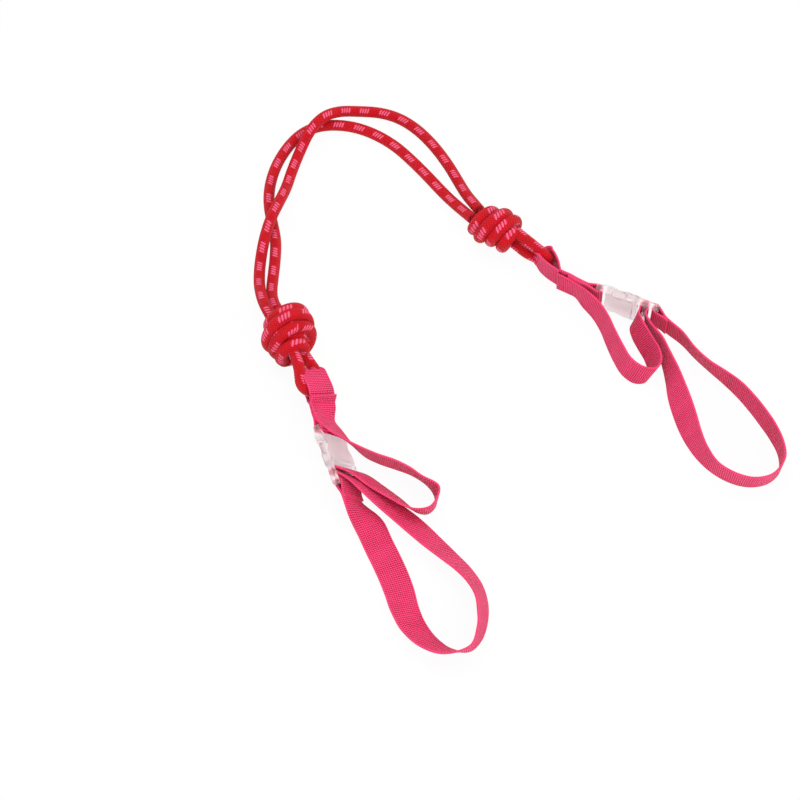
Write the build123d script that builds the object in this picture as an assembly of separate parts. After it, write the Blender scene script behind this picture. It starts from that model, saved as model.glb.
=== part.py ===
from build123d import *
import math
import os

# A carry and tow sling: a doubled braided rope with a barrel knot at each end, and at each
# knot a strap of webbing with a side-release buckle and two loops.
# Millimetres, +Z up. The sling lies on the floor, and the origin is on the floor below the
# middle of everything but the rope's free run.

# ---- driving dimensions ----
rope_dia = 8.0
web_width = 20.0
web_thick = 1.3
gap = 0.3                    # running clearance between separate pieces

# side-release buckle, along its own X from the socket's bar
buckle_thick = 7.6
bar_thick = 3.2              # every webbing bar is this thick
rail_width = 2.4             # side rail beside each webbing slot
slot_room = 0.6              # from the webbing's edge to the rail
socket_slot = 4.4            # webbing slot between the socket's bar and its body
socket_body = 20.0           # closed body from the slot to the mouth
wall = 1.2                   # moulded wall of the socket
waist = 2.8                  # how far the socket's sides curve in beside each latch
window_front = 5.6           # solid rim between each side window and the mouth
window_back = 3.4            # from the body's closed end to each side window
side_round = 2.4             # rounding of the buckle's long edges
collar = 2.3                 # plug's collar, which stops at the mouth
near_slot = 3.6              # slot between the collar and the adjuster bar
far_slot = 5.2               # slot between the adjuster bar and the fixed bar
latch_beam = 1.7             # thickness of each latch arm's spring

# sewn webbing
tab_taper = 7.0              # from a bar to where the two layers lie flat together
fold_clearance = 0.8         # from the rope to the inside of the fold
cut_end = 26.0               # from the socket's bar to the adjuster's cut end, sewn on the tab
loop_tab = 11.5              # stitched tab on the plug's fixed bar
stitch_layers = 2            # layers of webbing in a stitched tab

# ---- worked-out sizes ----
bar_r = bar_thick / 2
slot_half = web_width / 2 + slot_room
buckle_width = 2 * (slot_half + rail_width)
body_start = bar_r + socket_slot
mouth = body_start + socket_body
collar_start = mouth + gap
rail_start = collar_start + collar
adjuster_x = rail_start + near_slot + bar_r
fixed_x = adjuster_x + bar_thick + far_slot
rope_r = rope_dia / 2
fold_room = rope_r + fold_clearance          # half the height inside the fold
stack = stitch_layers * web_thick
lie = (stack + web_thick) / 2 + gap          # middle of a strap that lies on a sewn tab

# Each end, from the buckle outwards: where the socket's bar lies, how far the buckle is off the
# floor, which way it points and how far it is rolled on its side; the sewn tab's length, how
# far it has drifted sideways and lifted at its far end; the fold; the rope's eye, with half the
# gap between its limbs at the tip and at the knot; the knot, how far its bulges stand out from
# the rope's thickness and how far its lowest one is off the floor; and how far the plug's tab
# swings on its bar.
ends = {
    "left": dict(
        bar=(-126.0, -10.5), off_floor=1.0988, heading=-71.0, roll=50.0, wrap_side=-1, near_face=1,
        tab_length=20.5, tab_drift=1.7, tab_lift=2.4,
        fold_heading=-68.0, fold_roll=30.0, fold_length=26.0, tip_at=9.8, gather=3.4, neck=-1.5,
        eye_heading=-63.0, eye_roll=30.0, eye_pitch=4.2, eye_drift=0.0, eye_hole=5.0, eye_neck=2.6,
        eye_length=17.5, knot_heading=-68.0, knot_pitch=11.0, knot_length=38.0,
        knot_out=(10.0, 11.5, 10.5, 7.5), knot_off_floor=0.1651, loop_swing=0.0,
    ),
    "right": dict(
        bar=(59.0, 97.5), off_floor=0.074, heading=-24.0, roll=84.0, wrap_side=1, near_face=-1,
        tab_length=29.5, tab_drift=0.0, tab_lift=2.2,
        fold_heading=-61.0, fold_roll=86.0, fold_length=25.0, tip_at=15.5, gather=1.0, neck=0.0,
        eye_heading=-44.0, eye_roll=86.0, eye_pitch=1.8, eye_drift=0.0, eye_hole=1.2, eye_neck=1.2,
        eye_length=20.0, knot_heading=-30.0, knot_pitch=2.0, knot_length=40.0,
        knot_out=(5.5, 6.5, 6.5, 5.0), knot_off_floor=0.4538, loop_swing=26.0,
    ),
}

# The straps stand or lean on their lower edge. Each row is a point of that lower edge, then
# the compass angle and the rise, in degrees, of the line across the webbing from that edge.
left_adjuster = [
    (-110.5, -14.5, 4.0, 212, 64), (-101.0, -23.0, 0.8, 235, 78),
    (-91.0, -28.5, 0.8, 245, 80), (-80.5, -32.5, 0.8, 246, 80), (-70.0, -37.0, 0.8, 244, 77),
    (-61.0, -43.5, 0.8, 232, 76), (-55.5, -51.5, 0.8, 310, 80), (-54.8, -59.5, 0.8, 300, 82),
    (-60.0, -65.3, 0.8, 280, 76), (-67.5, -63.8, 0.8, 245, 68), (-78.0, -54.5, 1.2, 215, 56),
    (-88.8, -46.8, 3.5, 208, 50), (-98.7, -41.0, 7.0, 204, 50),
]
left_hand = [
    (-88.5, -72.0, 2.0, 206, 6), (-83.0, -84.0, 0.8, 205, 5), (-78.0, -95.0, 0.8, 203, 5),
    (-73.0, -107.0, 0.8, 200, 6), (-69.0, -119.0, 0.8, 197, 10), (-66.0, -132.0, 0.8, 198, 20),
    (-61.5, -143.5, 0.8, 208, 28), (-54.5, -153.5, 0.8, 222, 40), (-45.5, -160.5, 0.8, 240, 56),
    (-34.5, -162.0, 0.8, 270, 78), (-27.0, -155.0, 0.8, 140, 80), (-23.0, -144.0, 0.8, 160, 70),
    (-22.0, -131.0, 0.8, 180, 64), (-25.0, -117.5, 0.8, 200, 56), (-32.0, -105.5, 0.8, 214, 50),
    (-41.0, -95.0, 0.8, 218, 44), (-50.5, -84.5, 0.8, 220, 38), (-60.0, -74.5, 1.5, 220, 34),
    (-69.5, -66.0, 2.5, 218, 34), (-79.8, -59.1, 4.4, 212, 38), (-90.3, -53.1, 7.4, 204, 44),
    (-99.0, -47.5, 9.5, 200, 48),
]
right_adjuster = [
    (49.5, 95.0, 1.2, 30, 86), (56.0, 86.0, 0.8, 30, 82), (61.0, 75.0, 0.8, 20, 80),
    (64.5, 63.0, 0.8, 18, 78), (68.5, 51.0, 0.8, 18, 76), (73.5, 40.5, 0.8, 20, 76),
    (81.0, 34.0, 0.8, 15, 74),
    (88.5, 34.5, 0.8, 5, 72), (91.5, 41.5, 0.8, 355, 70), (90.0, 51.0, 0.8, 350, 66),
    (86.0, 60.5, 0.8, 345, 64), (82.5, 69.5, 0.8, 350, 68), (81.5, 78.0, 1.6, 350, 78),
]
right_hand = [
    (91.5, 77.5, 2.6, 200, 84), (94.5, 69.0, 1.4, 200, 87), (98.5, 59.0, 0.8, 20, 86),
    (101.5, 47.5, 0.8, 20, 82), (103.0, 34.5, 0.8, 18, 72), (103.8, 20.5, 0.8, 18, 60),
    (106.2, 7.5, 0.8, 16, 56), (109.8, -5.5, 0.8, 20, 60), (114.8, -17.0, 0.8, 30, 70),
    (121.5, -27.5, 0.8, 40, 82), (130.5, -36.5, 0.8, 240, 86), (141.5, -43.0, 0.8, 260, 82),
    (153.0, -45.5, 0.8, 275, 80), (164.5, -43.0, 0.8, 290, 82), (173.0, -34.5, 0.8, 0, 88),
    (174.0, -22.5, 0.8, 0, 90), (169.5, -9.5, 0.8, 30, 88), (163.5, 2.0, 0.8, 30, 87),
    (157.5, 12.5, 0.8, 30, 88), (150.5, 23.0, 0.8, 40, 90), (142.5, 33.0, 0.8, 220, 84),
    (133.5, 43.0, 0.8, 220, 78), (124.5, 53.5, 0.8, 222, 78), (116.0, 64.0, 1.8, 215, 82),
]

# The rope's two strands, by their centre lines, from the left knot to the right knot.
# The front strand lies over the back one at the two places where they cross.
front_strand = [
    (-163.8, 71.5, 18.5), (-168.0, 80.0, 18.5), (-171.6, 88.5, 16.5), (-174.5, 99.5, 12.0),
    (-176.5, 112.5, 7.0), (-176.5, 128.0, 6.0), (-174.0, 145.0, 11.0), (-169.5, 161.0, 15.0),
    (-164.0, 177.0, 13.0),
    (-160.0, 193.0, 6.5), (-156.5, 210.0, 4.5), (-151.0, 227.0, 6.0), (-144.0, 241.0, 12.5),
    (-134.0, 252.5, 15.0), (-122.0, 261.0, 10.0), (-108.0, 265.0, 4.5), (-93.5, 264.5, 4.0),
    (-79.0, 259.5, 4.0), (-65.5, 249.0, 4.0), (-53.0, 233.5, 4.0), (-42.5, 215.5, 4.0),
    (-36.2, 201.5, 4.5), (-30.8, 188.0, 7.0), (-26.0, 177.5, 11.0), (-21.5, 168.5, 14.0),
]
back_strand = [
    (-155.0, 75.5, 14.0), (-162.0, 84.5, 13.0), (-166.0, 94.0, 9.5), (-167.6, 104.5, 6.2),
    (-167.0, 117.5, 4.6), (-166.0, 133.0, 4.0), (-166.0, 150.0, 4.0), (-169.5, 166.0, 4.0),
    (-172.5, 182.5, 4.0),
    (-172.0, 199.0, 4.0), (-168.0, 216.0, 4.0), (-160.5, 232.0, 4.0), (-151.0, 244.5, 4.0),
    (-139.0, 251.5, 4.0), (-125.0, 253.0, 4.0), (-110.0, 250.5, 4.0), (-95.0, 243.5, 4.0),
    (-81.0, 233.0, 4.0), (-68.5, 219.0, 4.0), (-57.3, 205.0, 4.0), (-48.2, 192.5, 4.2),
    (-39.5, 181.0, 5.6), (-32.2, 170.5, 9.5), (-26.3, 161.0, 14.0),
]


# ---- frames and directions ----
def heading_vector(heading, pitch=0.0):
    h, p = math.radians(heading), math.radians(pitch)
    return Vector(math.cos(h) * math.cos(p), math.sin(h) * math.cos(p), math.sin(p))


def rolled_plane(origin, heading, roll, pitch=0.0):
    """A local frame: X along the heading, Z tipped from straight up to the left by the roll."""
    x = heading_vector(heading, -pitch)
    left = Vector(0, 0, 1).cross(x).normalized()
    up = x.cross(left)
    r = math.radians(roll)
    return Plane(origin=origin, x_dir=x, z_dir=up * math.cos(r) + left * math.sin(r))


def end_frames(end):
    """The frames of one end, each worked out from the one before it."""
    roll = math.radians(end["roll"])
    reach = buckle_width / 2 * math.sin(roll) + buckle_thick / 2 * math.cos(roll)
    buckle = rolled_plane((*end["bar"], end["off_floor"] + reach), end["heading"], end["roll"])
    parting = buckle.from_local_coords(Vector(-end["tab_length"], end["tab_drift"], end["tab_lift"]))
    fold = rolled_plane(parting, end["fold_heading"], end["fold_roll"])
    tip = fold.from_local_coords(Vector(-end["tip_at"], end["eye_drift"], 0))
    turn_r = rope_r + end["eye_hole"]
    turn_middle = tip - heading_vector(end["eye_heading"], -end["eye_pitch"]) * turn_r
    eye = rolled_plane(turn_middle, end["eye_heading"], end["eye_roll"], end["eye_pitch"])
    face = eye.from_local_coords(Vector(-end["eye_length"], 0, 0))
    knot = rolled_plane(face, end["knot_heading"], end["eye_roll"], end["knot_pitch"])
    return buckle, fold, eye, knot


# ---- buckle, in its own frame ----
def mirrored_outline(points):
    """A closed outline from the points of its +Y half, and their mirror image."""
    return make_face(Polyline(*points, *[(x, -y) for x, y in reversed(points)], close=True))


def rounded_bar():
    """The buckle's cross-section with its long edges rounded, carried along the whole buckle."""
    section = RectangleRounded(buckle_width, buckle_thick, side_round)
    return extrude(Plane.YZ * section, fixed_x + 10, both=True)


def socket():
    half, thin = buckle_width / 2, bar_thick + 0.6
    plan = mirrored_outline([(-bar_r, half - 1.0), (body_start, half - 0.6), (mouth, half)])
    window_mid = (body_start + window_back + mouth - window_front) / 2
    window_len = mouth - window_front - body_start - window_back
    # each side curves in beside its latch, as an arc over the window
    bite_r = (window_len**2 / 4 + waist**2) / (2 * waist)
    for side in (-1, 1):
        plan -= Pos(window_mid, side * (half - waist + bite_r)) * Circle(bite_r)
    profile = make_face(
        Polyline(
            (-bar_r, thin / 2), (bar_r, thin / 2), (body_start, buckle_thick / 2 - 0.5),
            (mouth - 2, buckle_thick / 2), (mouth, buckle_thick / 2),
            (mouth, -buckle_thick / 2), (mouth - 2, -buckle_thick / 2),
            (body_start, 0.5 - buckle_thick / 2), (bar_r, -thin / 2), (-bar_r, -thin / 2), close=True,
        )
    )
    body = extrude(plan, buckle_thick, both=True) & extrude(Plane.XZ * profile, half + 1, both=True)
    body &= rounded_bar()
    room = buckle_thick - 2 * wall
    cavity = Box(mouth - body_start - wall + 2, buckle_width - 2 * wall, room)
    body -= Pos((body_start + wall + mouth) / 2 + 1, 0) * cavity
    body -= Pos(window_mid, 0) * Box(window_len, buckle_width + 2, room)
    body -= Pos(socket_slot / 2, 0) * Box(socket_slot + bar_thick, 2 * slot_half, buckle_thick * 2)
    # the bar is round, so that the webbing turns easily
    body += Rot(90, 0, 0) * Cylinder(bar_r, 2 * slot_half + 1)
    return body


def plug():
    half = buckle_width / 2
    frame_end = fixed_x + bar_r
    plan = mirrored_outline([(collar_start, half), (frame_end - 1.5, half), (frame_end, half - 1.5)])
    rail_half = bar_thick / 2 + 0.6
    profile = make_face(
        Polyline(
            (collar_start, buckle_thick / 2), (rail_start - 0.8, buckle_thick / 2),
            (rail_start + 1.2, rail_half), (frame_end, rail_half), (frame_end, -rail_half),
            (rail_start + 1.2, -rail_half), (rail_start - 0.8, -buckle_thick / 2),
            (collar_start, -buckle_thick / 2), close=True,
        )
    )
    body = extrude(plan, buckle_thick, both=True) & extrude(Plane.XZ * profile, half + 1, both=True)
    body &= rounded_bar()
    body -= Pos((rail_start + fixed_x) / 2, 0) * Box(fixed_x - rail_start, 2 * slot_half, buckle_thick * 2)
    body -= Pos(fixed_x + bar_thick / 2, 0) * Box(bar_thick * 2, 2 * slot_half, buckle_thick * 2)
    for x in (adjuster_x, fixed_x):
        body += Pos(x, 0) * Rot(90, 0, 0) * Cylinder(bar_r, 2 * slot_half + 1)
    # the middle tongue guides the plug into the socket
    room = buckle_thick / 2 - wall - gap
    tongue = mirrored_outline(
        [(collar_start - 13.5, 1.4), (collar_start - 12.0, 2.1), (collar_start + 0.5, 2.6)]
    )
    return body + extrude(tongue, room, both=True)


def latch(side):
    """One latch arm: a spring beam from the collar, and a head with a shoulder in the window."""
    root_y = buckle_width / 2 - 5.0
    shoulder = mouth - window_front - gap
    head_end = body_start + window_back + 0.8
    out = buckle_width / 2 - 0.4
    outline = [
        (collar_start - 0.1, root_y - latch_beam / 2), (collar_start - 0.1, root_y + latch_beam / 2),
        (shoulder + 1.2, root_y + latch_beam / 2 + 0.5), (shoulder, root_y + 2.0), (shoulder, out),
        (shoulder - 4.5, out - 0.2), (head_end + 0.8, out - 1.2), (head_end, root_y + 1.2),
        (head_end + 0.6, root_y - 0.4), (shoulder, root_y - latch_beam / 2 - 0.3),
    ]
    face = make_face(Polyline(*[(x, side * y) for x, y in outline], close=True))
    return extrude(face, buckle_thick / 2 - wall - gap, both=True)


# ---- sewn webbing, in the frame of the bar or the fold ----
def bar_tab(length):
    """Webbing turned round a bar at the frame's origin and sewn flat along +X."""
    inner, outer = bar_r + gap, bar_r + gap + web_thick
    side = Circle(outer) + make_face(
        Polyline((0, outer), (tab_taper, stack / 2), (length, stack / 2), (length, -stack / 2),
                 (tab_taper, -stack / 2), (0, -outer), close=True)
    )
    side -= Circle(inner)
    side -= make_face(Polyline((0, inner), (tab_taper * 0.7, 0), (0, -inner), close=True))
    return extrude(Plane.XZ * side, web_width / 2, both=True)


def tab_path(end, buckle, fold):
    """Places along the sewn tab: (middle, line across, outward normal), from the bar to the fold."""
    first, last = tab_taper + 1.0, end["tab_length"]
    places = []
    for step in range(4):
        f = step / 3
        eased = f * f * (3 - 2 * f)
        local = Vector(-first - (last - first) * f, end["tab_drift"] * eased, end["tab_lift"] * eased)
        across = -(buckle.y_dir * (1 - eased) + fold.y_dir * eased).normalized()
        normal = (buckle.z_dir * (1 - eased) + fold.z_dir * eased).normalized()
        places.append((buckle.from_local_coords(local), across, normal))
    return places


def sewn_tab(end, buckle, fold):
    """The tab between the socket's bar and the fold, twisted to meet both."""
    sections = []
    for middle, across, normal in tab_path(end, buckle, fold):
        side, up = across * web_width / 2, normal * stack / 2
        corners = (middle - side - up, middle - side + up, middle + side + up, middle + side - up)
        sections.append(make_face(Polyline(*corners, close=True)))
    turn = buckle.location * Rot(0, 0, 180) * bar_tab(tab_taper + 1.0)
    return turn + loft(sections, ruled=True)


def rope_fold(end):
    """The open fold that the rope's eye hangs in, gathered where it passes through the eye."""
    inner, outer = fold_room, fold_room + web_thick
    length = end["fold_length"]
    far = length - outer
    lean = math.asin(inner / end["tip_at"])
    touch = (-end["tip_at"] + inner * math.sin(lean), inner * math.cos(lean))
    side = make_face(
        Polyline((-gap, stack / 2), (touch[0], touch[1] + web_thick), (-far, outer),
                 (-far, -outer), (touch[0], -touch[1] - web_thick), (-gap, -stack / 2), close=True)
    ) + Pos(-far, 0) * Circle(outer)
    side -= make_face(
        Polyline((-1.5, 0), touch, (-end["tip_at"], inner), (-far, inner), (-far, -inner),
                 (-end["tip_at"], -inner), (touch[0], -touch[1]), close=True)
    )
    side -= Pos(-far, 0) * Circle(inner)
    fold = extrude(Plane.XZ * side, web_width / 2, both=True)
    half = web_width / 2
    neck = [(-length - 1, end["gather"]), (-far - 1.0, end["gather"])]
    shoulder = [(-far + 5.0, half), (1, half)]
    right = [(x, end["neck"] - y) for x, y in neck] + [(x, -y) for x, y in shoulder]
    left = [(x, end["neck"] + y) for x, y in neck] + shoulder
    plan = make_face(Polyline(*left, *right[::-1], close=True))
    return fold & extrude(plan, outer + 1, both=True)


# ---- rope ----
def rope_eye(end):
    """The rope's bight below the knot: two limbs that meet a round turn as tangents."""
    depth = end["eye_length"] + 2.0
    turn_r, spread = rope_r + end["eye_hole"], rope_r + end["eye_neck"]
    touch = math.atan2(spread, -depth) - math.acos(turn_r / math.hypot(depth, spread))
    x, y = turn_r * math.cos(touch), turn_r * math.sin(touch)
    path = Wire([
        Line((-depth, spread), (x, y)), ThreePointArc((x, y), (turn_r, 0), (x, -y)),
        Line((x, -y), (-depth, -spread)),
    ])
    return sweep(Plane(path @ 0, z_dir=path % 0) * Circle(rope_r), path=path)


def knot(end):
    """A barrel knot as a turned body with one rounded bulge for each wrap of the rope."""
    wraps = [rope_dia + out for out in end["knot_out"]]
    pitch = end["knot_length"] / len(wraps)
    points = [(-end["knot_length"], 0), (-end["knot_length"], wraps[0] - rope_r)]
    edges = [Line(*points)]
    at = points[-1]
    for i, r in enumerate(wraps):
        x = -end["knot_length"] + (i + 1) * pitch
        low = min(wraps[i:i + 2]) - rope_r * 0.8
        edges.append(ThreePointArc(at, (x - pitch / 2, r), (x, low)))
        at = (x, low)
    edges.append(Line(at, (0, 0)))
    edges.append(Line((0, 0), points[0]))
    return revolve(make_face(edges), axis=Axis.X)


def bend_radii(points):
    """The largest radius that each corner's two runs allow, and print it."""
    radii = []
    for a, b, c in zip(points, points[1:], points[2:]):
        first, second = Vector(*b) - Vector(*a), Vector(*c) - Vector(*b)
        turn = math.radians(first.get_angle(second))
        radii.append(0.45 * min(first.length, second.length) / math.tan(turn / 2))
    return radii


def strand(name, points):
    radii = bend_radii(points)
    path = FilletPolyline(*points, radius=radii)
    tube = sweep(Plane(path @ 0, z_dir=path % 0) * Circle(rope_r), path=path)
    ideal = math.pi * rope_r**2 * path.length
    print(name, "length %.1f" % path.length, "radii", [round(r) for r in radii])
    print(name, "volume / (section x length) %.4f" % (tube.volume / ideal))
    return tube


# ---- free straps ----
def strap(rows, thick=web_thick):
    """A ribbon of webbing through rows of (point on the lower edge, line across the webbing)."""
    middles = [p + across * web_width / 2 for p, across in rows]
    sections = []
    for i, (p, across) in enumerate(rows):
        along = middles[min(i + 1, len(rows) - 1)] - middles[max(i - 1, 0)]
        out = along.cross(across).normalized() * thick / 2
        far = p + across * web_width
        sections.append(make_face(Polyline(p - out, p + out, far + out, far - out, close=True)))
    return loft(sections, ruled=True)


def floor_rows(rows):
    return [(Vector(x, y, z), heading_vector(compass, rise)) for x, y, z, compass, rise in rows]


def bar_rows(frame, x, side):
    """Rows of the webbing's turn round a bar, from the near slot to the far slot.

    The lower edge runs at half the webbing's width from the middle of the bar.
    """
    r = bar_r + gap + web_thick / 2
    leg = 2.2
    across = (frame.from_local_coords(Vector(0, -1, 0)) - frame.origin).normalized()
    local = [(x - r, -leg * side)]
    for step in range(7):
        a = math.pi - step * math.pi / 6
        local.append((x + r * math.cos(a), side * r * math.sin(a)))
    local.append((x + r, -leg * side))
    return [
        (frame.from_local_coords(Vector(u, web_width / 2, t)), across)
        for u, t in local
    ]


def sewn_rows(end, buckle, fold):
    """Rows of the adjuster's sewn end, which lies on the fold and the tab, on the side that shows."""
    side = end["near_face"]
    beyond = cut_end - end["tab_length"]
    rise = fold_room + web_thick * 1.5 + gap
    rows = []
    if beyond > 4:
        across = -fold.y_dir
        for u, t in ((-beyond, rise), (-beyond * 0.45, rise * 0.45 + lie * 0.55)):
            rows.append((fold.from_local_coords(Vector(u, web_width / 2, side * t)), across))
    for middle, across, normal in tab_path(end, buckle, fold)[::-1]:
        rows.append((middle - across * web_width / 2 + normal * side * lie, across))
    return rows


def butt_row(rows):
    """A row just short of the first of some rows, so that two straps meet end to end."""
    (first, across), (second, _) = rows[:2]
    return (first + (first - second).normalized() * gap * 2, across)


def tab_end_row(loop):
    """The row where the hand loop leaves the plug's tab, in the frame of the fixed bar."""
    return [(loop.from_local_coords(Vector(loop_tab + 3 * gap, web_width / 2, 0)), -loop.y_dir)]


os.makedirs("parts", exist_ok=True)
export_step(strand("rope_strand_front", front_strand), "parts/rope_strand_front.step")
export_step(strand("rope_strand_back", back_strand), "parts/rope_strand_back.step")

for name, end in ends.items():
    buckle, fold, eye, barrel = end_frames(end)
    bar_turn = bar_rows(buckle, adjuster_x, end["wrap_side"])
    loop = Plane(buckle.location * Pos(fixed_x, 0, 0) * Rot(0, end["loop_swing"], 0))
    tab_end = tab_end_row(loop)
    sewn = sewn_rows(end, buckle, fold)
    if name == "left":
        across = -buckle.y_dir
        # the strap clears both the webbing round the bar and the edge of the socket's body
        over = max(bar_r + gap + web_thick, buckle_thick / 2 - 2 * gap) + gap + web_thick / 2
        over_bar = buckle.from_local_coords(Vector(0, web_width / 2, over))
        adjuster = sewn + [(over_bar, across)] + floor_rows(left_adjuster) + [butt_row(bar_turn)]
        hand = tab_end + floor_rows(left_hand) + bar_turn[::-1]
    else:
        adjuster = sewn[:3] + floor_rows(right_adjuster) + [butt_row(bar_turn)]
        hand = bar_turn + floor_rows(right_hand) + tab_end
    # the knot lies at its own height, whatever the rope's thickness
    body = barrel.location * knot(end)
    body = Pos(0, 0, end["knot_off_floor"] - body.bounding_box().min.Z) * body
    pieces = {
        "knot": body,
        "rope_eye": eye.location * rope_eye(end),
        "rope_fold": fold.location * rope_fold(end),
        "sewn_tab": sewn_tab(end, buckle, fold),
        "buckle_socket": buckle.location * socket(),
        "buckle_plug": buckle.location * plug(),
        "latch_low": buckle.location * latch(1),
        "latch_high": buckle.location * latch(-1),
        "loop_tab": loop.location * bar_tab(loop_tab),
        "adjuster_strap": strap(adjuster),
        "hand_loop": strap(hand),
    }
    for piece, shape in pieces.items():
        export_step(shape, f"parts/{name}_{piece}.step")
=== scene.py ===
import math
import bpy
import numpy as np
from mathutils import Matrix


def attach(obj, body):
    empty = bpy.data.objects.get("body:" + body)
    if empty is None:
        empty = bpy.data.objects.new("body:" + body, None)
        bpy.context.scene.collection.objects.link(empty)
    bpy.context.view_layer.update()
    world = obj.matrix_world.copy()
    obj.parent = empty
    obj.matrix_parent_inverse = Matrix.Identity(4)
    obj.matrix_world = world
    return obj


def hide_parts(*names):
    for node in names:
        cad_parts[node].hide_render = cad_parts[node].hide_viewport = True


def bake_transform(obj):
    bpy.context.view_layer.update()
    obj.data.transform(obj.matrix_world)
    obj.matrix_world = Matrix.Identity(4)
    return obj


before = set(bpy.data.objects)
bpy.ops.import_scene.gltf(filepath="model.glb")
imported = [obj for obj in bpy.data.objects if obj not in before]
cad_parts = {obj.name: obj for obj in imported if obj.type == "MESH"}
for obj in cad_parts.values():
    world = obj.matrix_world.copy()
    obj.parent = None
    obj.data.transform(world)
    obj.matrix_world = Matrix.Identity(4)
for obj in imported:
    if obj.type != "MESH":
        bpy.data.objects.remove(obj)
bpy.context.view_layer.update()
mm = 0.001
white = (1.0, 1.0, 1.0, 1.0)
scene = bpy.context.scene
scene.view_settings.view_transform = "Standard"

cameraSet = {
    "aim": (-0.078, 0.021, 0.0),
    "distance": 1.28,        # from the aim, in metres
    "elevation": 60.0,       # above the floor, in degrees
    "lens": 85.0,
}
towardsView = np.array([0.0, -0.5, 0.866])
lightSet = {
    "worldStrength": 0.78,
    # name: (place, aim, size across, power in watts)
    "lamps": {
        "overhead": ((-0.15, 0.35, 1.3), (0.0, 0.0, 0.0), 0.9, 7.2),
        "front": ((0.6, -1.0, 0.8), (0.05, 0.0, 0.0), 0.8, 7.5),
    },
}
floorSet = {
    "size": 6.0,
    "colour": (0.86, 0.86, 0.86, 1.0),
    "roughness": 0.9,
    "white": 0.94,           # share of plain white in it; the rest takes the shadow
}


def aimAt(thing, target):
    # turns an object's -Z axis towards a point
    direction = np.subtract(target, thing.location)
    yaw = math.atan2(direction[1], direction[0]) - math.pi / 2
    pitch = math.atan2(direction[2], math.hypot(direction[0], direction[1])) + math.pi / 2
    thing.rotation_euler = (pitch, 0.0, yaw)


def addCamera():
    # the camera stands the distance away from its aim, at its elevation above the floor
    aim, rise = cameraSet["aim"], math.radians(cameraSet["elevation"])
    lens = bpy.data.cameras.new("view")
    lens.lens = cameraSet["lens"]
    camera = bpy.data.objects.new("view", lens)
    scene.collection.objects.link(camera)
    back = np.array([0.0, -math.cos(rise), math.sin(rise)])
    camera.location = aim + cameraSet["distance"] * back
    aimAt(camera, aim)
    scene.camera = camera


def addLamps():
    for name, (place, aim, size, watts) in lightSet["lamps"].items():
        lamp = bpy.data.lights.new(name, "AREA")
        lamp.size, lamp.energy = size, watts
        holder = bpy.data.objects.new(name, lamp)
        scene.collection.objects.link(holder)
        holder.location = place
        aimAt(holder, aim)


class Signal:
    # a shader socket that takes Python's arithmetic: each operator adds one Math node
    def __init__(self, graph, socket):
        self.graph, self.socket = graph, socket

    def math(self, operation, *others, first=None):
        values = (self if first is None else first,) + others
        return self.graph.add("ShaderNodeMath", {"operation": operation}, dict(enumerate(values)))

    def __add__(self, other): return self.math("ADD", other)
    def __radd__(self, other): return self.math("ADD", other)
    def __sub__(self, other): return self.math("SUBTRACT", other)
    def __rsub__(self, other): return self.math("SUBTRACT", self, first=other)
    def __mul__(self, other): return self.math("MULTIPLY", other)
    def __truediv__(self, other): return self.math("DIVIDE", other)
    def __pow__(self, other): return self.math("POWER", other)
    def __mod__(self, other): return self.math("FLOORED_MODULO", other)
    def __abs__(self): return self.math("ABSOLUTE")

    def sine(self): return self.math("SINE")
    def floor(self): return self.math("FLOOR")
    def part(self): return self.math("FRACT")
    def least(self, other): return self.math("MINIMUM", other)
    def most(self, other): return self.math("MAXIMUM", other)

    def ramp(self, low, high):
        # 0 below low and 1 above high, with a smooth step between them
        settings = {"interpolation_type": "SMOOTHSTEP"}
        sockets = {"Value": self, "From Min": low, "From Max": high}
        return self.graph.add("ShaderNodeMapRange", settings, sockets)


class Graph:
    # a material's nodes; add() takes a node's type, its settings and its sockets' values or links
    def __init__(self, name, world=None):
        self.material = world or bpy.data.materials.new(name)
        self.material.use_nodes = True
        self.nodes = self.material.node_tree.nodes
        self.links = self.material.node_tree.links
        self.surface = self.nodes["Background" if world else "Principled BSDF"]

    def add(self, kind, settings=None, sockets=None, output=0):
        node = self.nodes.new(kind)
        for name, value in (settings or {}).items():
            setattr(node, name, value)
        for name, value in (sockets or {}).items():
            self.plug(node.inputs[name], value)
        return Signal(self, node.outputs[output])

    def plug(self, socket, value):
        if isinstance(value, Signal):
            self.links.new(value.socket, socket)
        else:
            socket.default_value = value

    def shine(self, **values):
        # sets the shader's own sockets, whose names are written without spaces
        sockets = {socket.name.replace(" ", ""): socket for socket in self.surface.inputs}
        for name, value in values.items():
            self.plug(sockets[name], value)

    def uv(self, layer):
        # the two places of a UV map
        place = self.add("ShaderNodeUVMap", {"uv_map": layer})
        split = self.add("ShaderNodeSeparateXYZ", None, {0: place})
        return split, Signal(self, split.socket.node.outputs[1])

    def point(self):
        return self.add("ShaderNodeTexCoord", None, None, "Object")

    def joined(self, x, y):
        return self.add("ShaderNodeCombineXYZ", None, {0: x, 1: y})

    def noise(self, place, scale, detail):
        sockets = {"Vector": place, "Scale": scale, "Detail": detail}
        return self.add("ShaderNodeTexNoise", None, sockets)

    def blend(self, amount, first, second):
        # the first colour where the amount is 0 and the second where it is 1
        sockets = {"Factor": amount, 6: first, 7: second}
        return self.add("ShaderNodeMix", {"data_type": "RGBA"}, sockets, 2)

    def bump(self, height, distance, strength):
        sockets = {"Height": height, "Distance": distance, "Strength": strength}
        return self.add("ShaderNodeBump", None, sockets)


def shadeAndToneOf(f, crown, fuzz, wide):
    # painted shade and random tone: 0 in the grooves, darkened as if shaded, and 1 on the crowns,
    # lighter as if lit; the weighted sum of the three, ramped, where the crown's part paints the
    # shade and the fuzz and wide give random tone
    crownPart, fuzzPart, widePart = f["weights"]
    return (crown * crownPart + fuzz * fuzzPart + wide * widePart).ramp(*f["tone"])


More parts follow.
